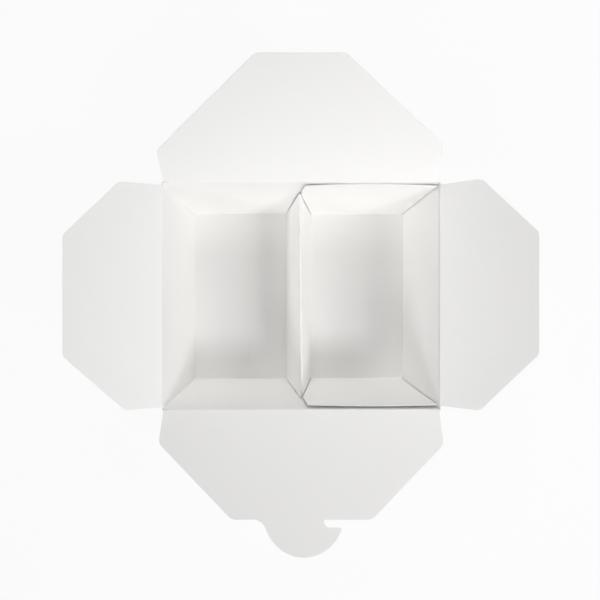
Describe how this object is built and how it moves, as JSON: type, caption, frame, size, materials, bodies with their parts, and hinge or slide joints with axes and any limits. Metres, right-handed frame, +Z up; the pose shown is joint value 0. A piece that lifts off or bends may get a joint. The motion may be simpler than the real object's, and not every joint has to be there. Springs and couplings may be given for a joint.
{
  "type": "takeout food box",
  "caption": "White folded paperboard takeout box, open, with hinged end, front and back flaps, a lock tongue and a loose divided tray insert.",
  "frame": {"origin": "centre of the underside of the box's floor", "axes": "+X towards the right-hand end, +Y towards the back flap, +Z up out of the open box"},
  "size_m": [0.2719, 0.2781, 0.1077],
  "materials": {
    "box_board": "white coated paperboard, satin",
    "insert_board": "white coated paperboard, satin"
  },
  "bodies": {
    "box": {"box_body": "box_board", "compartment_insert": "insert_board"},
    "left_flap": {"left_flap": "box_board"},
    "right_flap": {"right_flap": "box_board"},
    "front_flap": {"front_flap": "box_board"},
    "back_flap": {"back_flap": "box_board"}
  },
  "joints": [
    {"name": "left_flap_crease", "type": "hinge", "parent": "box", "child": "left_flap", "pos_m": [-0.0855, 0, 0.0635], "axis": [0, 1, 0], "range_deg": [-62, 163]},
    {"name": "right_flap_crease", "type": "hinge", "parent": "box", "child": "right_flap", "pos_m": [0.0855, 0, 0.0635], "axis": [0, -1, 0], "range_deg": [-80, 145]},
    {"name": "front_flap_crease", "type": "hinge", "parent": "box", "child": "front_flap", "pos_m": [0, -0.06974, 0.06425], "axis": [-1, 0, 0], "range_deg": [-65, 160]},
    {"name": "back_flap_crease", "type": "hinge", "parent": "box", "child": "back_flap", "pos_m": [0, 0.06985, 0.065], "axis": [1, 0, 0], "range_deg": [-80, 145]}
  ]
}
